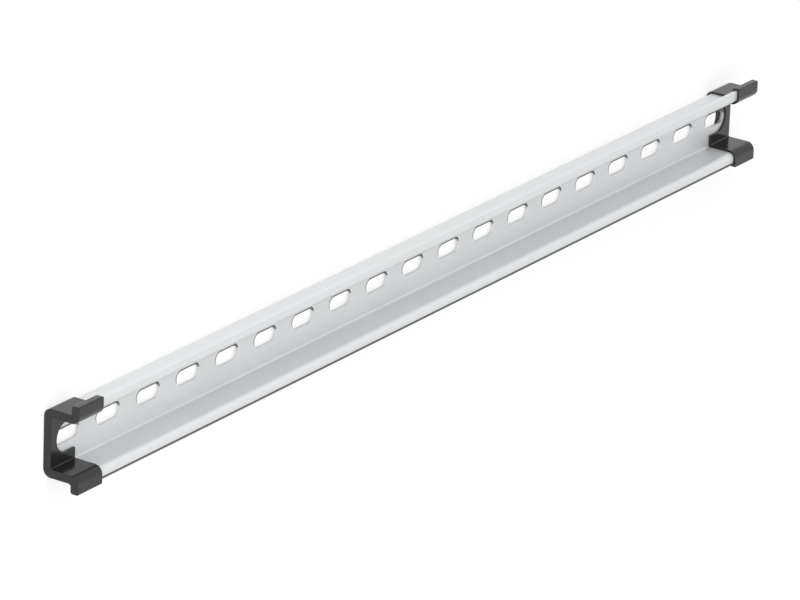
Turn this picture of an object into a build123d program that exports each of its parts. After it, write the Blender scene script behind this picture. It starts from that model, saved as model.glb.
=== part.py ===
from build123d import *
import os

os.makedirs("parts", exist_ok=True)

# Rolled section: a top-hat profile bent from one strip of sheet. All sizes in mm.
rail_length = 500.0
flange_span = 35.0
crown_span = 27.0
rail_depth = 15.0
sheet = 1.5
bend_inner = 1.0
bend_outer = bend_inner + sheet
tip_front_roll = 0.6
tip_back_roll = 0.3

# Punched row of slots along the middle of the web.
slot_count = 19
slot_length = 15.0
slot_width = 6.2
slot_end_margin = 10.5
slot_roll = 0.35
slot_pitch = (rail_length - 2 * slot_end_margin) / (slot_count - 1)

# Push-on end cap: a double-walled sleeve round the sheet with a closed end wall.
cap_wall = 1.0
cap_clear = 0.1
cap_end_wall = 1.5
cap_length = 16.0
cap_skin = cap_wall + cap_clear
cap_shoulder = bend_outer + cap_skin
cap_inner_corner = 0.5
cap_outer_corner = 1.0
cap_tip_front_round = 0.5
cap_tip_back_round = 1.0
cap_mouth_round = 0.8
cap_end_break = 0.25

# U-shaped reliefs in the web walls of the cap. The front one clears the end slot of the rail.
relief_radius = 6.4
front_relief_start = 3.9
back_relief_start = 6.7

# Heights, with the back of the caps on the ground plane.
web_back = cap_skin
web_front = web_back + sheet
flange_front = web_back + rail_depth
flange_back = flange_front - sheet
cap_end = rail_length / 2 + cap_end_wall
cut_over = 1.0


def hat_points(grow):
    """Corners of the hat section with every surface moved outward by grow."""
    tip = flange_span / 2 + grow
    inside = crown_span / 2 - sheet - grow
    outside = crown_span / 2 + grow
    front = flange_front + grow
    under = flange_back - grow
    floor = web_front + grow
    back = web_back - grow
    right = [
        (tip, under),
        (tip, front),
        (inside, front),
        (inside, floor),
    ]
    left = [(-x, z) for x, z in reversed(right)]
    crown = [(-outside, under), (-outside, back), (outside, back), (outside, under)]
    return right + left + crown


def at_corner(sketch, half_span, height):
    """The mirrored pair of sketch corners at this half width and height."""
    return sketch.vertices().filter_by(
        lambda v: abs(abs(v.X) - half_span) < 0.001 and abs(v.Y - height) < 0.001
    )


def round_bends(sketch, grow, shoulder, floor_round, under_round):
    """Round the eight bends of a hat section that was grown by grow."""
    inside = crown_span / 2 - sheet - grow
    outside = crown_span / 2 + grow
    fillet(at_corner(sketch, inside, flange_front + grow), shoulder)
    fillet(at_corner(sketch, outside, web_back - grow), bend_outer + grow)
    fillet(at_corner(sketch, inside, web_front + grow), floor_round)
    fillet(at_corner(sketch, outside, flange_back - grow), under_round)


def round_tips(sketch, grow, front_round, back_round):
    """Round both flange tips of a hat section that was grown by grow."""
    tip = flange_span / 2 + grow
    fillet(at_corner(sketch, tip, flange_front + grow), front_round)
    fillet(at_corner(sketch, tip, flange_back - grow), back_round)


# Rail: the hat section, its bends, and the row of slots with a rolled-over punched edge.
with BuildPart() as rail:
    with BuildSketch(Plane.YZ.offset(-rail_length / 2)) as section:
        with BuildLine():
            Polyline(*hat_points(0), close=True)
        make_face()
        round_bends(section, 0, bend_outer, bend_inner, bend_inner)
        round_tips(section, 0, tip_front_roll, tip_back_roll)
    extrude(amount=rail_length)
    with BuildSketch(Plane.XY.offset(web_back - cut_over)):
        with GridLocations(slot_pitch, 0, slot_count, 1):
            SlotOverall(slot_length, slot_width)
    extrude(amount=sheet + 2 * cut_over, mode=Mode.SUBTRACT)
    slot_rims = rail.edges().filter_by(
        lambda e: abs(e.center().Z - web_front) < 0.001
        and abs(e.center().Y) < slot_width
        and e.length < slot_length
    )
    chamfer(slot_rims, slot_roll)
rail.part.label = "rail"
export_step(rail.part, "parts/rail.step")

# Left end cap: a closed block round the sheet, its pocket, and the reliefs at the end slot.
with BuildPart() as end_cap_left:
    with BuildSketch(Plane.YZ.offset(-cap_end)) as sleeve:
        with BuildLine():
            Polyline(*hat_points(cap_skin), close=True)
        make_face()
        round_bends(sleeve, cap_skin, cap_shoulder, cap_inner_corner, cap_outer_corner)
        round_tips(sleeve, cap_skin, cap_tip_front_round, cap_tip_back_round)
    extrude(amount=cap_length)
    chamfer(end_cap_left.faces().sort_by(Axis.X)[0].edges(), cap_end_break)
    with BuildSketch(Plane.YZ.offset(-rail_length / 2)) as pocket:
        with BuildLine():
            Polyline(*hat_points(cap_clear), close=True)
        make_face()
        pocket_inner = bend_inner - cap_clear
        round_bends(pocket, cap_clear, bend_outer + cap_clear, pocket_inner, pocket_inner)
    extrude(amount=cap_length, mode=Mode.SUBTRACT)
    with BuildSketch(Plane.XY.offset(web_front)):
        with Locations((front_relief_start + relief_radius - cap_end, 0)):
            Circle(relief_radius)
            Rectangle(cap_length, 2 * relief_radius, align=(Align.MIN, Align.CENTER))
    extrude(amount=cap_skin + cut_over, mode=Mode.SUBTRACT)
    with BuildSketch(Plane.XY.offset(-cut_over)):
        with Locations((back_relief_start + relief_radius - cap_end, 0)):
            Circle(relief_radius)
            Rectangle(cap_length, 2 * relief_radius, align=(Align.MIN, Align.CENTER))
    extrude(amount=cut_over + web_back, mode=Mode.SUBTRACT)
    with BuildSketch(Plane.XY.offset(-cut_over)) as outline:
        with Locations((-cap_end, 0)):
            Rectangle(
                cap_length,
                flange_span + 2 * cap_skin,
                align=(Align.MIN, Align.CENTER),
            )
        fillet(outline.vertices().group_by(Axis.X)[-1], cap_mouth_round)
    extrude(amount=flange_front + cap_skin + 2 * cut_over, mode=Mode.INTERSECT)
end_cap_left.part.label = "end_cap_left"
export_step(end_cap_left.part, "parts/end_cap_left.step")

# Right end cap: the same moulding turned half round.
with BuildPart() as end_cap_right:
    add(end_cap_left.part.rotate(Axis.Z, 180))
end_cap_right.part.label = "end_cap_right"
export_step(end_cap_right.part, "parts/end_cap_right.step")
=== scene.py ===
import math

import bmesh
import bpy
from mathutils import Matrix, Vector


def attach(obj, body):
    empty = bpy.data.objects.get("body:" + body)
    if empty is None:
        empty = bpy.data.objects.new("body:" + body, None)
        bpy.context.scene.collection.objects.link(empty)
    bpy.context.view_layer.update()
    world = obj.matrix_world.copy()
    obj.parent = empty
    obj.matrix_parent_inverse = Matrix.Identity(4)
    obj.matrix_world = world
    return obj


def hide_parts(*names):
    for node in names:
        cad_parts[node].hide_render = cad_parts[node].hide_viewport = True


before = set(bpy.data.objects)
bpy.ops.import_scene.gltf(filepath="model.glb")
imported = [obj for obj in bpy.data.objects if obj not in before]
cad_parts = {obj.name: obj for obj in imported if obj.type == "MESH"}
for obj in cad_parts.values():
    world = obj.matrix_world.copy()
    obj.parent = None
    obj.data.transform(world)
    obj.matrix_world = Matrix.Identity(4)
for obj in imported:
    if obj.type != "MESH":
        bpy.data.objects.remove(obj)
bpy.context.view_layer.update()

# Sizes in millimetres, as in the part's source; meshes are scaled to metres once they are made.
MM = 0.001
SAME_PLACE = 0.001
ON_PLANE = 0.00001
QUARTER_TURN = math.pi / 2

# Rolled section, with the backs of the caps at height 0.
RAIL_LENGTH = 500.0
FLANGE_SPAN = 35.0
CROWN_SPAN = 27.0
RAIL_DEPTH = 15.0
SHEET = 1.5
BEND_INNER = 1.0
BEND_OUTER = BEND_INNER + SHEET
BEND_STEPS = 8
CAP_WALL = 1.0
CAP_CLEARANCE = 0.1
CAP_SKIN = CAP_WALL + CAP_CLEARANCE
FLANGE_TIP = FLANGE_SPAN / 2
CROWN_INSIDE = CROWN_SPAN / 2 - SHEET
WEB_BACK = CAP_SKIN
WEB_FRONT = WEB_BACK + SHEET
FLANGE_FRONT = WEB_BACK + RAIL_DEPTH
FLANGE_BACK = FLANGE_FRONT - SHEET

# The straight runs are split in three. Short ones beside the bends keep the shading even, and
# the last one of the flange is wider than its rolled edge.
WALL_SHARES = (0.04, 0.92, 0.04)
FLANGE_SHARES = (0.12, 0.36, 0.52)

# Row of slots; the web is built as one cell for each.
SLOT_COUNT = 19
SLOT_LENGTH = 15.0
SLOT_RADIUS = 3.1
SLOT_RUN = SLOT_LENGTH / 2 - SLOT_RADIUS
SLOT_SEGMENTS = 40
SLOT_END_MARGIN = 10.5
SLOT_PITCH = (RAIL_LENGTH - 2 * SLOT_END_MARGIN) / (SLOT_COUNT - 1)
FIRST_SLOT = -SLOT_PITCH * (SLOT_COUNT - 1) / 2
WEB_HALF = CROWN_INSIDE - BEND_INNER
CELL_MARGIN = 0.4
CELL_HALF = WEB_HALF - CELL_MARGIN
CELL_COLUMNS = 8
CELL_ROWS = 4

# Rolled edges of the slots and of the strip.
ROLL_STEPS = 6
SLOT_ROLL = 1.0
SLOT_ROLL_DEPTH = 0.45
SLOT_ROLL_LEAST_WIDTH = 0.3
SLOT_ROLL_LEAST_DEPTH = 0.15
LAND_MARGIN = 0.35
UPPER_EDGE_ROLL = 0.6
LOWER_EDGE_ROLL = 1.4
LOWER_EDGE_DEPTH = 0.5
SQUARE_EDGE = math.radians(60)

# Painted shade: the side of every slot that faces up and to the left gets a wider, deeper roll, and
# the dark steel colour there stands for shade on that rim.
SHADED_SIDE = Vector((-0.35, 0.937))
SHADED_SIDE_FULL = 0.6
PAINTED_SHADE_FROM = 0.12
BARE_STEEL_AND_SHADE = 1

# End caps.
CAP_END_WALL = 1.5
CAP_END = RAIL_LENGTH / 2 + CAP_END_WALL
CAP_LENGTH = 16.0
CAP_MOUTH = CAP_LENGTH - CAP_END
CAP_MOUTH_ROUND = 0.8
MOUTH_ROUND_START = FLANGE_TIP + CAP_SKIN - CAP_MOUTH_ROUND
CAP_INNER_CORNER = 0.5
CAP_OUTER_CORNER = 1.0
CAP_TIP_FRONT_ROUND = 0.5
CAP_TIP_BACK_ROUND = 1.0
POCKET_CORNER = BEND_INNER - CAP_CLEARANCE
POCKET_TIP_ROUND = 0.1
CAP_END_BREAK = 0.3
END_BREAK_STEPS = 3
CAP_EDGE_BREAK = 0.15
EDGE_BREAK_STEPS = 2
EDGE_BREAK_ANGLE = math.radians(40)
RELIEF_RADIUS = 6.4
RELIEF_SEGMENTS = 64
RELIEF_TOP = 6.0
RELIEF_BOTTOM = -2.0
FRONT_RELIEF_START = 3.9
BACK_RELIEF_START = 6.7
PIN_MARK_FROM_END = 4.1
PIN_MARK_OFF_CENTRE = 5.7
PIN_MARK_RADIUS = 0.4
PIN_MARK_DEPTH = 0.25
PIN_MARK_SEGMENTS = 24
PIN_HEIGHT = 1.0

SHARP_ANGLE = math.radians(42)

# Zinc, dark steel (bare on the cut ends, painted shade elsewhere) and plastic: colours, and the
# range of the roughness.
ZINC_METALLIC = 0.45
ZINC_DARK = (0.677, 0.693, 0.702)
ZINC_LIGHT = (0.716, 0.730, 0.737)
ZINC_ROUGHNESS = (0.38, 0.50)
BARE_AND_SHADE_SPECULAR = 0.25
BARE_AND_SHADE_DARK = (0.105, 0.107, 0.109)
BARE_AND_SHADE_LIGHT = (0.145, 0.147, 0.149)
BARE_AND_SHADE_ROUGHNESS = (0.7, 0.85)
PLASTIC_DARK = (0.006, 0.006, 0.0063)
PLASTIC_LIGHT = (0.009, 0.009, 0.0095)
PLASTIC_RUBBED = (0.05, 0.05, 0.052)
PLASTIC_ROUGHNESS = (0.14, 0.22)

# Relief of the grain in metres, and its detail.
STEEL_GRAIN_DEPTH = 0.00005
PLASTIC_GRAIN_DEPTH = 0.00004
GRAIN_DETAIL = 3.0
CLOUD_DETAIL = 2.0

# An edge is rubbed as its rounded normal turns away: the cosine where that starts and is full.
RUB_STARTS = 0.99
RUB_FULL = 0.85
RUB_SAMPLES = 6

# Studio. Where the floor is seen it glows by FLOOR_GLOW, and its paint adds the rest of
# FLOOR_SEEN.
WHITE = (1, 1, 1, 1)
SKY_DIFFUSE = 0.46
FLOOR_WHITE = 0.85
FLOOR_GLOW = 0.75
FLOOR_SEEN = 1.02
FLOOR_ROUGHNESS = 0.9
FLOOR_HALF_WIDTH = 12000.0
FLOOR_DROP = 0.3

# Camera, in metres.
CAMERA_PLACE = (-2.10075, 0.96058, 1.39956)
CAMERA_RIGHT = (0.56640, 0.03562, 0.82336)
CAMERA_BACK = (-0.77559, 0.36084, 0.51793)
CAMERA_LENS = 289.119
SENSOR_WIDTH = 36.0
NEAREST_SEEN = 0.1
FARTHEST_SEEN = 60.0


# Modelling helpers

def only(kind, geometry):
    return [g for g in geometry if isinstance(g, kind)]


def whole(bm):
    return bm.verts[:] + bm.edges[:] + bm.faces[:]


def drag_edges(bm, edges, step):
    """Pull a chain of edges by a straight step and return the new chain."""
    made = bmesh.ops.extrude_edge_only(bm, edges=edges)["geom"]
    moved = set(only(bmesh.types.BMVert, made))
    bmesh.ops.translate(bm, verts=list(moved), vec=step)
    return [e for e in only(bmesh.types.BMEdge, made) if all(v in moved for v in e.verts)]


def spun(bm, geometry, centre, angle):
    """Turn geometry round a line along the rail and return where it ends."""
    return bmesh.ops.spin(
        bm, geom=geometry, cent=centre, axis=(1, 0, 0), dvec=(0, 0, 0),
        angle=angle, steps=BEND_STEPS, use_merge=False, use_duplicate=False,
    )["geom_last"]


def bend_edges(bm, edges, centre, angle):
    """Roll a chain of edges round a line along the rail and return the new chain."""
    verts = list({v for e in edges for v in e.verts})
    return only(bmesh.types.BMEdge, spun(bm, verts + list(edges), centre, angle))


def run_to(bm, tip, across, height):
    """Draw a straight run of a section from its last point."""
    point = bmesh.ops.extrude_vert_indiv(bm, verts=[tip])["verts"][0]
    point.co = (tip.co.x, across, height)
    return point


def turn_about(bm, tip, centre, angle):
    """Draw an arc of a section from its last point."""
    return only(bmesh.types.BMVert, spun(bm, [tip], (tip.co.x, *centre), angle))[0]


def round_over(bm, edges, width, steps):
    return bmesh.ops.bevel(
        bm, geom=edges, offset=width, offset_type="OFFSET", affect="EDGES",
        segments=steps, profile=0.5, material=-1, clamp_overlap=False,
    )


def object_from(bm, name):
    """Finish a mesh made in millimetres as an object in metres."""
    bmesh.ops.scale(bm, vec=(MM, MM, MM), verts=bm.verts)
    mesh = bpy.data.meshes.new(name)
    bm.to_mesh(mesh)
    bm.free()
    obj = bpy.data.objects.new(name, mesh)
    bpy.context.scene.collection.objects.link(obj)
    return obj


def bake_modifiers(obj):
    """Apply an object's modifiers to its mesh."""
    bpy.context.view_layer.update()
    graph = bpy.context.evaluated_depsgraph_get()
    mesh = bpy.data.meshes.new_from_object(obj.evaluated_get(graph))
    obj.modifiers.clear()
    obj.data = mesh


def even_shading(obj):
    """Smooth the bends, keep crisp edges crisp and the broad flat faces flat."""
    obj.data.polygons.foreach_set("use_smooth", [True] * len(obj.data.polygons))
    obj.data.set_sharp_from_angle(angle=SHARP_ANGLE)
    weighted = obj.modifiers.new("even_shading", "WEIGHTED_NORMAL")
    weighted.keep_sharp = True


# Rail

def slot_outline(bm, radius):
    """A closed loop with round ends and straight sides, for one slot about the origin."""
    made = bmesh.ops.create_circle(
        bm, cap_ends=False, segments=SLOT_SEGMENTS, radius=radius,
    )["verts"]
    edges = list({e for v in made for e in v.link_edges})
    cut = bmesh.ops.bisect_plane(
        bm, geom=made + edges, dist=ON_PLANE, plane_co=(0, 0, 0), plane_no=(1, 0, 0),
        clear_inner=True, clear_outer=False,
    )["geom"]
    arc_verts = only(bmesh.types.BMVert, cut)
    arc_edges = only(bmesh.types.BMEdge, cut)
    bmesh.ops.translate(bm, verts=arc_verts, vec=(SLOT_RUN, 0, 0))
    twin = bmesh.ops.duplicate(bm, geom=arc_verts + arc_edges)["geom"]
    twin_verts = only(bmesh.types.BMVert, twin)
    half_turn = Matrix.Rotation(math.pi, 3, "Z")
    bmesh.ops.rotate(bm, verts=twin_verts, cent=(0, 0, 0), matrix=half_turn)
    loop = arc_edges + only(bmesh.types.BMEdge, twin)
    open_ends = [v for v in arc_verts + twin_verts if len(v.link_edges) == 1]
    for side in (1, -1):
        loop.append(bm.edges.new([v for v in open_ends if v.co.y * side > 0]))
    return loop


def on_cell_border(vert):
    at_end = abs(abs(vert.co.x) - SLOT_PITCH / 2) < SAME_PLACE
    at_side = abs(abs(vert.co.y) - CELL_HALF) < SAME_PLACE
    return at_end or at_side


def web_cell(bm):
    """One pitch of the flat web, with the slot left open in it."""
    rim = slot_outline(bm, SLOT_RADIUS)
    land = slot_outline(bm, SLOT_RADIUS + SLOT_ROLL + LAND_MARGIN)
    bmesh.ops.bridge_loops(bm, edges=rim + land)
    grid = bmesh.ops.create_grid(
        bm, x_segments=CELL_COLUMNS, y_segments=CELL_ROWS, size=0.5,
    )["verts"]
    bmesh.ops.scale(bm, verts=grid, vec=(SLOT_PITCH, 2 * CELL_HALF, 1))
    inner_faces = list({f for v in grid for f in v.link_faces})
    bmesh.ops.delete(bm, geom=inner_faces, context="FACES_KEEP_BOUNDARY")
    border = [e for e in bm.edges if not e.link_faces and all(map(on_cell_border, e.verts))]
    land_outer = [e for e in land if e.is_valid]
    bmesh.ops.bridge_loops(bm, edges=land_outer + border)


def slotted_web(bm):
    """The flat web: a row of cells, cut to length through the first and the last one."""
    web_cell(bm)
    cell = whole(bm)
    bmesh.ops.translate(bm, verts=bm.verts[:], vec=(FIRST_SLOT, 0, WEB_FRONT))
    for k in range(1, SLOT_COUNT):
        twin = bmesh.ops.duplicate(bm, geom=cell)["geom"]
        bmesh.ops.translate(bm, verts=only(bmesh.types.BMVert, twin), vec=(SLOT_PITCH * k, 0, 0))
    bmesh.ops.remove_doubles(bm, verts=bm.verts[:], dist=SAME_PLACE)
    for side in (1, -1):
        bmesh.ops.bisect_plane(
            bm, geom=whole(bm), dist=ON_PLANE,
            plane_co=(side * RAIL_LENGTH / 2, 0, 0), plane_no=(side, 0, 0),
            clear_inner=False, clear_outer=True,
        )


def roll_side(bm, side):
    """Roll one side of the web up into a wall and out into a flange."""
    chain = [
        e for e in bm.edges
        if e.is_boundary and all(abs(v.co.y - side * CELL_HALF) < SAME_PLACE for v in e.verts)
    ]
    chain = drag_edges(bm, chain, (0, side * CELL_MARGIN, 0))
    floor_bend = (0, side * WEB_HALF, WEB_FRONT + BEND_INNER)
    chain = bend_edges(bm, chain, floor_bend, side * QUARTER_TURN)
    wall = FLANGE_FRONT - BEND_OUTER - WEB_FRONT - BEND_INNER
    for share in WALL_SHARES:
        chain = drag_edges(bm, chain, (0, 0, share * wall))
    shoulder_bend = (0, side * (CROWN_INSIDE + BEND_OUTER), FLANGE_FRONT - BEND_OUTER)
    chain = bend_edges(bm, chain, shoulder_bend, -side * QUARTER_TURN)
    flange = FLANGE_TIP - CROWN_INSIDE - BEND_OUTER
    for share in FLANGE_SHARES:
        chain = drag_edges(bm, chain, (0, side * share * flange, 0))


def rolled_rail():
    """The slotted strip, rolled to a top-hat section and given the thickness of the sheet."""
    bm = bmesh.new()
    slotted_web(bm)
    for side in (1, -1):
        roll_side(bm, side)
    bmesh.ops.recalc_face_normals(bm, faces=bm.faces[:])
    web = next(f for f in bm.faces if all(abs(v.co.z - WEB_FRONT) < SAME_PLACE for v in f.verts))
    if web.normal.z < 0:
        bmesh.ops.reverse_faces(bm, faces=bm.faces[:])
    bmesh.ops.solidify(bm, geom=bm.faces[:], thickness=SHEET)
    bmesh.ops.recalc_face_normals(bm, faces=bm.faces[:])
    return bm


def from_slot(place):
    """The spine point of the nearest slot, and the way from it to a point of the rim."""
    centre = FIRST_SLOT + SLOT_PITCH * round((place.x - FIRST_SLOT) / SLOT_PITCH)
    spine = centre + max(-SLOT_RUN, min(SLOT_RUN, place.x - centre))
    return Vector((spine, 0)), Vector((place.x - spine, place.y))


def shaded_side_share(outward):
    """How far this side of a slot turns to the shaded side, from 0 to 1: it sets the roll's size
    and the painted shade.
    """
    return min(max(outward.normalized().dot(SHADED_SIDE) / SHADED_SIDE_FULL, 0), 1)


def on_slot_rim(edge):
    """Whether an edge bounds a slot on the punched side of the web."""
    for v in edge.verts:
        if abs(v.co.z - WEB_FRONT) > SAME_PLACE or abs(v.co.y) > SLOT_RADIUS + SAME_PLACE:
            return False
    inside_ends = abs(edge.verts[0].co.x) < RAIL_LENGTH / 2 - SAME_PLACE
    return inside_ends and edge.calc_face_angle(0) > SQUARE_EDGE


def roll_slot_rims(bm):
    """Round the punched side of each slot; the side that faces up and to the left gets a wider,
    deeper roll and the dark steel colour as painted shade.
    """
    rims = [e for e in bm.edges if on_slot_rim(e)]
    roll = round_over(bm, rims, SLOT_ROLL, ROLL_STEPS)
    for v in roll["verts"]:
        spine, outward = from_slot(v.co)
        shaded = shaded_side_share(outward)
        width = SLOT_ROLL_LEAST_WIDTH + (SLOT_ROLL - SLOT_ROLL_LEAST_WIDTH) * shaded
        depth = SLOT_ROLL_LEAST_DEPTH + (SLOT_ROLL_DEPTH - SLOT_ROLL_LEAST_DEPTH) * shaded
        reach = SLOT_RADIUS + (outward.length - SLOT_RADIUS) * width / SLOT_ROLL
        v.co.xy = spine + outward.normalized() * reach
        v.co.z = WEB_FRONT - (WEB_FRONT - v.co.z) * depth / SLOT_ROLL
    # Painted shade: faces on the up-and-left side of each slot get the dark steel colour.
    for face in roll["faces"]:
        if shaded_side_share(from_slot(face.calc_center_median())[1]) > PAINTED_SHADE_FROM:
            face.material_index = BARE_STEEL_AND_SHADE


def roll_slit_edge(bm, side, width):
    """Round the front of a flange tip."""
    tip = side * FLANGE_TIP
    edges = [
        e for e in bm.edges
        if all(abs(v.co.y - tip) < SAME_PLACE and abs(v.co.z - FLANGE_FRONT) < SAME_PLACE
               for v in e.verts)
    ]
    return round_over(bm, edges, width, ROLL_STEPS)


def roll_slit_edges(bm):
    """Round the slit edges of the strip: the lower one wide and shallow, and coloured dark steel as
    a painted shade line.
    """
    roll_slit_edge(bm, 1, UPPER_EDGE_ROLL)
    roll = roll_slit_edge(bm, -1, LOWER_EDGE_ROLL)
    for v in roll["verts"]:
        v.co.z = FLANGE_FRONT - (FLANGE_FRONT - v.co.z) * LOWER_EDGE_DEPTH / LOWER_EDGE_ROLL
    # Painted shade: the whole lower slit roll gets the dark steel colour.
    for face in roll["faces"]:
        face.material_index = BARE_STEEL_AND_SHADE


rail_mesh = rolled_rail()
roll_slot_rims(rail_mesh)
roll_slit_edges(rail_mesh)
rail = object_from(rail_mesh, "slotted_rail")
even_shading(rail)
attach(rail, "root")
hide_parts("rail")


# End caps

def hat_outline(bm, x, grow, under, tip_back, tip_front, floor):
    """Draw a closed hat outline, grown from the sheet's, with a radius for each kind of corner."""
    known = set(bm.edges)
    inside = CROWN_INSIDE - grow
    outside = CROWN_INSIDE + SHEET + grow
    tip = FLANGE_TIP + grow
    front_z = FLANGE_FRONT + grow
    under_z = FLANGE_BACK - grow
    floor_z = WEB_FRONT + grow
    back_z = WEB_BACK - grow
    bend = BEND_OUTER + grow
    p = bm.verts.new((x, 0, back_z))
    p = run_to(bm, p, outside - bend, back_z)
    p = turn_about(bm, p, (outside - bend, back_z + bend), QUARTER_TURN)
    p = run_to(bm, p, outside, under_z - under)
    p = turn_about(bm, p, (outside + under, under_z - under), -QUARTER_TURN)
    p = run_to(bm, p, tip - tip_back, under_z)
    p = turn_about(bm, p, (tip - tip_back, under_z + tip_back), QUARTER_TURN)
    p = run_to(bm, p, tip, front_z - tip_front)
    p = turn_about(bm, p, (tip - tip_front, front_z - tip_front), QUARTER_TURN)
    p = run_to(bm, p, min(MOUTH_ROUND_START, tip - 2 * tip_front), front_z)
    p = run_to(bm, p, inside + bend, front_z)
    p = turn_about(bm, p, (inside + bend, front_z - bend), QUARTER_TURN)
    p = run_to(bm, p, inside, floor_z + floor)
    p = turn_about(bm, p, (inside - floor, floor_z + floor), -QUARTER_TURN)
    run_to(bm, p, 0, floor_z)
    half = [e for e in bm.edges if e not in known]
    verts = list({v for e in half for v in e.verts})
    bmesh.ops.mirror(
        bm, geom=verts + half, matrix=Matrix.Identity(4), merge_dist=SAME_PLACE, axis="Y",
    )
    return [e for e in bm.edges if e not in known]


def round_mouth(bm):
    """Draw the outer corners of the cap's mouth back to a quarter circle."""
    for v in bm.verts:
        past = abs(v.co.y) - MOUTH_ROUND_START
        if past > 0 and v.co.x > CAP_MOUTH - SAME_PLACE:
            v.co.x -= CAP_MOUTH_ROUND - math.sqrt(max(CAP_MOUTH_ROUND ** 2 - past ** 2, 0))


def moulded_cap():
    """A closed block with the cap's outline and a pocket in it for the end of the sheet."""
    bm = bmesh.new()
    outline = hat_outline(
        bm, -CAP_END, CAP_SKIN, under=CAP_OUTER_CORNER, tip_back=CAP_TIP_BACK_ROUND,
        tip_front=CAP_TIP_FRONT_ROUND, floor=CAP_INNER_CORNER,
    )
    bmesh.ops.contextual_create(bm, geom=outline)
    mouth = drag_edges(bm, outline, (CAP_LENGTH, 0, 0))
    pocket = hat_outline(
        bm, CAP_MOUTH, CAP_CLEARANCE, under=POCKET_CORNER, tip_back=POCKET_TIP_ROUND,
        tip_front=POCKET_TIP_ROUND, floor=POCKET_CORNER,
    )
    rim = bmesh.ops.bridge_loops(bm, edges=mouth + pocket)
    bmesh.ops.subdivide_edges(bm, edges=only(bmesh.types.BMEdge, rim["edges"]), cuts=2)
    bottom = drag_edges(bm, pocket, (CAP_END_WALL - CAP_LENGTH, 0, 0))
    bmesh.ops.contextual_create(bm, geom=bottom)
    round_mouth(bm)
    bmesh.ops.recalc_face_normals(bm, faces=bm.faces[:])
    end_edges = [e for e in bm.edges if all(v.co.x < SAME_PLACE - CAP_END for v in e.verts)]
    round_over(bm, end_edges, CAP_END_BREAK, END_BREAK_STEPS)
    return object_from(bm, "cap_left")


def relief_cutter(name, from_end, low, high):
    """A U-shaped block that opens a web wall of the cap towards the middle of the rail."""
    bm = bmesh.new()
    centre = from_end + RELIEF_RADIUS - CAP_END
    disc = bmesh.ops.create_circle(
        bm, cap_ends=False, segments=RELIEF_SEGMENTS, radius=RELIEF_RADIUS,
    )["verts"]
    bmesh.ops.translate(bm, verts=disc, vec=(centre, 0, low))
    for v in disc:
        if v.co.x > centre + SAME_PLACE:
            v.co.x += CAP_LENGTH
            if abs(v.co.y) > SAME_PLACE:
                v.co.y = math.copysign(RELIEF_RADIUS, v.co.y)
    outline = list({e for v in disc for e in v.link_edges})
    face = bmesh.ops.contextual_create(bm, geom=outline)["faces"]
    made = bmesh.ops.extrude_face_region(bm, geom=face)["geom"]
    bmesh.ops.translate(bm, verts=only(bmesh.types.BMVert, made), vec=(0, 0, high - low))
    bmesh.ops.recalc_face_normals(bm, faces=bm.faces[:])
    return object_from(bm, name)


def pin_cutter():
    """The pin that leaves a small round mark on the floor of the cap."""
    bm = bmesh.new()
    disc = bmesh.ops.create_circle(
        bm, cap_ends=True, segments=PIN_MARK_SEGMENTS, radius=PIN_MARK_RADIUS,
    )["verts"]
    height = WEB_FRONT + CAP_SKIN - PIN_MARK_DEPTH
    place = (PIN_MARK_FROM_END - CAP_END, -PIN_MARK_OFF_CENTRE, height)
    bmesh.ops.translate(bm, verts=disc, vec=place)
    made = bmesh.ops.extrude_face_region(bm, geom=bm.faces[:])["geom"]
    bmesh.ops.translate(bm, verts=only(bmesh.types.BMVert, made), vec=(0, 0, PIN_HEIGHT))
    bmesh.ops.recalc_face_normals(bm, faces=bm.faces[:])
    return object_from(bm, "pin_mark")


def cut_away(piece, tool):
    """Subtract a tool from a piece, and remove the tool."""
    step = piece.modifiers.new("cut_away", "BOOLEAN")
    step.operation = "DIFFERENCE"
    step.object = tool
    step.solver = "EXACT"
    bake_modifiers(piece)
    bpy.data.objects.remove(tool)


# Each cutter reaches half way into the clearance on its side of the sheet, so it opens that wall
# alone.
front_cut_from = WEB_FRONT + CAP_CLEARANCE / 2
back_cut_to = WEB_BACK - CAP_CLEARANCE / 2

cap_left = moulded_cap()
cut_away(cap_left, relief_cutter("front_relief", FRONT_RELIEF_START, front_cut_from, RELIEF_TOP))
cut_away(cap_left, relief_cutter("back_relief", BACK_RELIEF_START, RELIEF_BOTTOM, back_cut_to))
cut_away(cap_left, pin_cutter())
edge_break = cap_left.modifiers.new("edge_break", "BEVEL")
edge_break.width = CAP_EDGE_BREAK * MM
edge_break.segments = EDGE_BREAK_STEPS
edge_break.limit_method = "ANGLE"
edge_break.angle_limit = EDGE_BREAK_ANGLE
bake_modifiers(cap_left)

cap_right = bpy.data.objects.new("cap_right", cap_left.data.copy())
bpy.context.scene.collection.objects.link(cap_right)
cap_right.data.transform(Matrix.Rotation(math.pi, 4, "Z"))

for cap, node in ((cap_left, "end_cap_left"), (cap_right, "end_cap_right")):
    even_shading(cap)
    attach(cap, "root")
    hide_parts(node)


# Materials

def mask_group(name, inputs, masks):
    """A node group with these number inputs and masks, and its entry and result nodes."""
    group = bpy.data.node_groups.new(name, "ShaderNodeTree")
    for label in inputs:
        group.interface.new_socket(label, in_out="INPUT", socket_type="NodeSocketFloat")
    for label in masks:
        group.interface.new_socket(label, in_out="OUTPUT", socket_type="NodeSocketFloat")
    return group, group.nodes.new("NodeGroupInput"), group.nodes.new("NodeGroupOutput")


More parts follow.
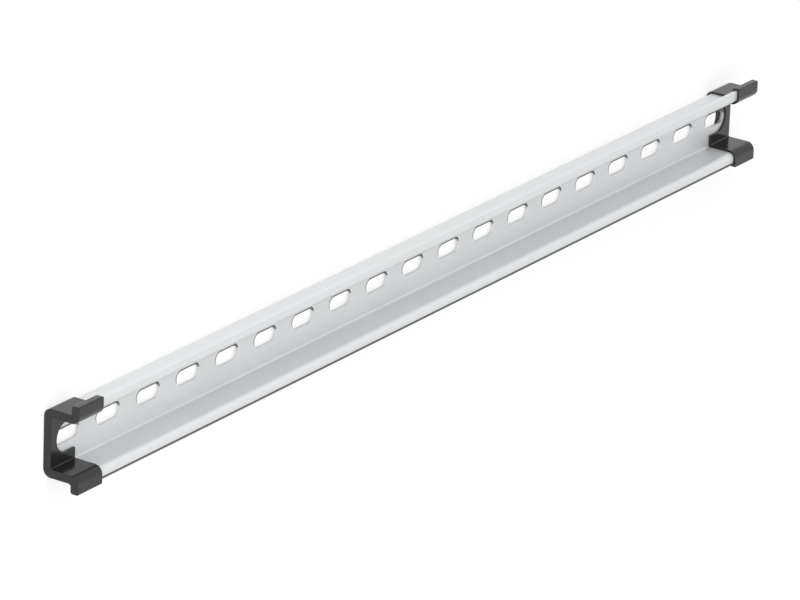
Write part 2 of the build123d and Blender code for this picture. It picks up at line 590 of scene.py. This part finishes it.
def surface_grain_group():
    """Grain and soft clouding of a surface, as two masks from 0 to 1."""
    group, entry, result = mask_group(
        "surface_grain", ("Along", "Across", "Cloud Scale"), ("Grain", "Cloud"),
    )
    nodes, links = group.nodes, group.links
    place = nodes.new("ShaderNodeTexCoord")
    stretch = nodes.new("ShaderNodeCombineXYZ")
    links.new(entry.outputs["Along"], stretch.inputs["X"])
    links.new(entry.outputs["Across"], stretch.inputs["Y"])
    links.new(entry.outputs["Across"], stretch.inputs["Z"])
    scaled = nodes.new("ShaderNodeVectorMath")
    scaled.operation = "MULTIPLY"
    links.new(place.outputs["Object"], scaled.inputs[0])
    links.new(stretch.outputs["Vector"], scaled.inputs[1])
    grain = nodes.new("ShaderNodeTexNoise")
    grain.inputs["Scale"].default_value = 1.0
    grain.inputs["Detail"].default_value = GRAIN_DETAIL
    links.new(scaled.outputs["Vector"], grain.inputs["Vector"])
    links.new(grain.outputs["Fac"], result.inputs["Grain"])
    cloud = nodes.new("ShaderNodeTexNoise")
    cloud.inputs["Detail"].default_value = CLOUD_DETAIL
    links.new(place.outputs["Object"], cloud.inputs["Vector"])
    links.new(entry.outputs["Cloud Scale"], cloud.inputs["Scale"])
    links.new(cloud.outputs["Fac"], result.inputs["Cloud"])
    return group


def edge_rub_group():
    """1 on outer edges that handling has rubbed, broken up by noise, and 0 on the flats."""
    group, entry, result = mask_group("edge_rub", ("Width", "Patchiness"), ("Mask",))
    nodes, links = group.nodes, group.links
    rounded = nodes.new("ShaderNodeBevel")
    rounded.samples = RUB_SAMPLES
    links.new(entry.outputs["Width"], rounded.inputs["Radius"])
    surface = nodes.new("ShaderNodeNewGeometry")
    agree = nodes.new("ShaderNodeVectorMath")
    agree.operation = "DOT_PRODUCT"
    links.new(rounded.outputs["Normal"], agree.inputs[0])
    links.new(surface.outputs["Normal"], agree.inputs[1])
    edge = nodes.new("ShaderNodeMapRange")
    edge.inputs["From Min"].default_value = RUB_STARTS
    edge.inputs["From Max"].default_value = RUB_FULL
    links.new(agree.outputs["Value"], edge.inputs["Value"])
    place = nodes.new("ShaderNodeTexCoord")
    patches = nodes.new("ShaderNodeTexNoise")
    links.new(place.outputs["Object"], patches.inputs["Vector"])
    links.new(entry.outputs["Patchiness"], patches.inputs["Scale"])
    broken = nodes.new("ShaderNodeMath")
    broken.operation = "MULTIPLY"
    links.new(edge.outputs["Result"], broken.inputs[0])
    links.new(patches.outputs["Fac"], broken.inputs[1])
    links.new(broken.outputs["Value"], result.inputs["Mask"])
    return group


surface_grain = surface_grain_group()
edge_rub = edge_rub_group()


def new_material(name):
    material = bpy.data.materials.new(name)
    material.use_nodes = True
    return material, material.node_tree.nodes, material.node_tree.links


def add_group(nodes, group, **values):
    """Use a node group, with its inputs set by name."""
    node = nodes.new("ShaderNodeGroup")
    node.node_tree = group
    for name, value in values.items():
        node.inputs[name.replace("_", " ")].default_value = value
    return node


def tone_between(nodes, links, mask, low, high):
    """A colour that goes from low to high with a mask."""
    mix = nodes.new("ShaderNodeMix")
    mix.data_type = "RGBA"
    mix.inputs["A"].default_value = (*low, 1)
    mix.inputs["B"].default_value = (*high, 1)
    links.new(mask, mix.inputs["Factor"])
    return mix.outputs["Result"]


def level_between(nodes, links, mask, low, high):
    """A number that goes from low to high with a mask."""
    level = nodes.new("ShaderNodeMapRange")
    level.inputs["To Min"].default_value = low
    level.inputs["To Max"].default_value = high
    links.new(mask, level.inputs["Value"])
    return level.outputs["Result"]


def raise_by(nodes, links, mask, depth, strength, shader):
    """Fine relief of the surface that follows a mask, with its depth in metres."""
    relief = nodes.new("ShaderNodeBump")
    relief.inputs["Strength"].default_value = strength
    relief.inputs["Distance"].default_value = depth
    links.new(mask, relief.inputs["Height"])
    links.new(relief.outputs["Normal"], shader.inputs["Normal"])


def zinc_material():
    """Pale satin zinc on rolled steel: faint rolling lines along the strip and soft clouding."""
    material, nodes, links = new_material("zinc_coated_steel")
    shader = nodes["Principled BSDF"]
    shader.inputs["Metallic"].default_value = ZINC_METALLIC
    surface = add_group(nodes, surface_grain, Along=12, Across=900, Cloud_Scale=55)
    grain, cloud = surface.outputs["Grain"], surface.outputs["Cloud"]
    links.new(tone_between(nodes, links, cloud, ZINC_DARK, ZINC_LIGHT), shader.inputs["Base Color"])
    links.new(level_between(nodes, links, grain, *ZINC_ROUGHNESS), shader.inputs["Roughness"])
    raise_by(nodes, links, grain, depth=STEEL_GRAIN_DEPTH, strength=0.05, shader=shader)
    return material


def bare_steel_and_shade_material():
    """Dark steel: bare on the rail's cut ends, and painted shade on one side of each slot rim and
    the lower slit edge.
    """
    material, nodes, links = new_material("bare_steel_and_painted_shade")
    shader = nodes["Principled BSDF"]
    shader.inputs["Specular IOR Level"].default_value = BARE_AND_SHADE_SPECULAR
    surface = add_group(nodes, surface_grain, Along=900, Across=900, Cloud_Scale=300)
    grain, cloud = surface.outputs["Grain"], surface.outputs["Cloud"]
    links.new(tone_between(nodes, links, grain, BARE_AND_SHADE_DARK, BARE_AND_SHADE_LIGHT), shader.inputs["Base Color"])
    links.new(level_between(nodes, links, cloud, *BARE_AND_SHADE_ROUGHNESS), shader.inputs["Roughness"])
    raise_by(nodes, links, grain, depth=STEEL_GRAIN_DEPTH, strength=0.1, shader=shader)
    return material


def plastic_material():
    """Black moulded plastic with a fine grain, an even semi-gloss and lightly rubbed edges."""
    material, nodes, links = new_material("black_moulded_plastic")
    shader = nodes["Principled BSDF"]
    surface = add_group(nodes, surface_grain, Along=2600, Across=2600, Cloud_Scale=160)
    grain, cloud = surface.outputs["Grain"], surface.outputs["Cloud"]
    rub = add_group(nodes, edge_rub, Width=0.00025, Patchiness=700)
    tone = nodes.new("ShaderNodeMix")
    tone.data_type = "RGBA"
    tone.inputs["B"].default_value = (*PLASTIC_RUBBED, 1)
    links.new(rub.outputs["Mask"], tone.inputs["Factor"])
    links.new(tone_between(nodes, links, cloud, PLASTIC_DARK, PLASTIC_LIGHT), tone.inputs["A"])
    links.new(tone.outputs["Result"], shader.inputs["Base Color"])
    links.new(level_between(nodes, links, cloud, *PLASTIC_ROUGHNESS), shader.inputs["Roughness"])
    raise_by(nodes, links, grain, depth=PLASTIC_GRAIN_DEPTH, strength=0.04, shader=shader)
    return material


rail.data.materials.append(zinc_material())
rail.data.materials.append(bare_steel_and_shade_material())
for face in rail.data.polygons:
    if abs(abs(face.center.x / MM) - RAIL_LENGTH / 2) < SAME_PLACE:
        face.material_index = BARE_STEEL_AND_SHADE

black_plastic = plastic_material()
for cap in (cap_left, cap_right):
    cap.data.materials.clear()
    cap.data.materials.append(black_plastic)


# Studio

def background_rays(nodes, links):
    """1 for the rays that show the background: direct, mirrored and seen through glass."""
    rays = nodes.new("ShaderNodeLightPath")
    shown = rays.outputs["Is Camera Ray"]
    for kind in ("Is Glossy Ray", "Is Transmission Ray"):
        either = nodes.new("ShaderNodeMath")
        either.operation = "MAXIMUM"
        links.new(shown, either.inputs[0])
        links.new(rays.outputs[kind], either.inputs[1])
        shown = either.outputs["Value"]
    return shown


def studio_floor():
    """White paper: natural white to scattered light, lifted to full white where it is seen."""
    bm = bmesh.new()
    bmesh.ops.create_grid(bm, x_segments=1, y_segments=1, size=FLOOR_HALF_WIDTH)
    bmesh.ops.translate(bm, verts=bm.verts[:], vec=(0, 0, -FLOOR_DROP))
    floor = object_from(bm, "floor")
    material, nodes, links = new_material("white_sweep")
    shader = nodes["Principled BSDF"]
    shader.inputs["Roughness"].default_value = FLOOR_ROUGHNESS
    shader.inputs["Specular IOR Level"].default_value = 0.0
    shader.inputs["Emission Color"].default_value = WHITE
    shown = background_rays(nodes, links)
    seen_paint = (FLOOR_SEEN - FLOOR_GLOW,) * 3
    paint = tone_between(nodes, links, shown, (FLOOR_WHITE,) * 3, seen_paint)
    glow = level_between(nodes, links, shown, 0.0, FLOOR_GLOW)
    links.new(paint, shader.inputs["Base Color"])
    links.new(glow, shader.inputs["Emission Strength"])
    floor.data.materials.append(material)


def studio_world():
    world = bpy.data.worlds.new("studio")
    world.use_nodes = True
    nodes, links = world.node_tree.nodes, world.node_tree.links
    sky = nodes["Background"]
    sky.inputs["Color"].default_value = WHITE
    shown = background_rays(nodes, links)
    links.new(level_between(nodes, links, shown, SKY_DIFFUSE, 1.0), sky.inputs["Strength"])
    bpy.context.scene.world = world


def softbox(name, place, size, level):
    """A square lamp aimed at the origin, with level times pi watts a square metre.

    It gives scattered light alone: in a reflection it would add to the white surround.
    """
    lamp = bpy.data.lights.new(name, "AREA")
    lamp.shape = "SQUARE"
    lamp.size = size
    lamp.energy = level * math.pi * size ** 2
    obj = bpy.data.objects.new(name, lamp)
    obj.location = place
    obj.rotation_euler = (-Vector(place)).to_track_quat("-Z", "Y").to_euler()
    obj.visible_glossy = False
    bpy.context.scene.collection.objects.link(obj)


def photo_camera():
    """The photograph's viewpoint, with the rail's width upwards in the picture."""
    lens = bpy.data.cameras.new("camera")
    lens.sensor_width = SENSOR_WIDTH
    lens.lens = CAMERA_LENS
    lens.clip_start = NEAREST_SEEN
    lens.clip_end = FARTHEST_SEEN
    camera = bpy.data.objects.new("camera", lens)
    right = Vector(CAMERA_RIGHT).normalized()
    back = Vector(CAMERA_BACK).normalized()
    up = back.cross(right)
    turn = Matrix((right, up, back)).transposed().to_4x4()
    camera.matrix_world = Matrix.Translation(CAMERA_PLACE) @ turn
    bpy.context.scene.collection.objects.link(camera)
    bpy.context.scene.camera = camera


studio_floor()
studio_world()
softbox("key_light", place=(-1.91, 0.80, 2.02), size=4.0, level=2.08)
softbox("side_light", place=(-0.50, 2.40, 0.75), size=1.4, level=2.9)
photo_camera()
bpy.context.scene.view_settings.view_transform = "Standard"
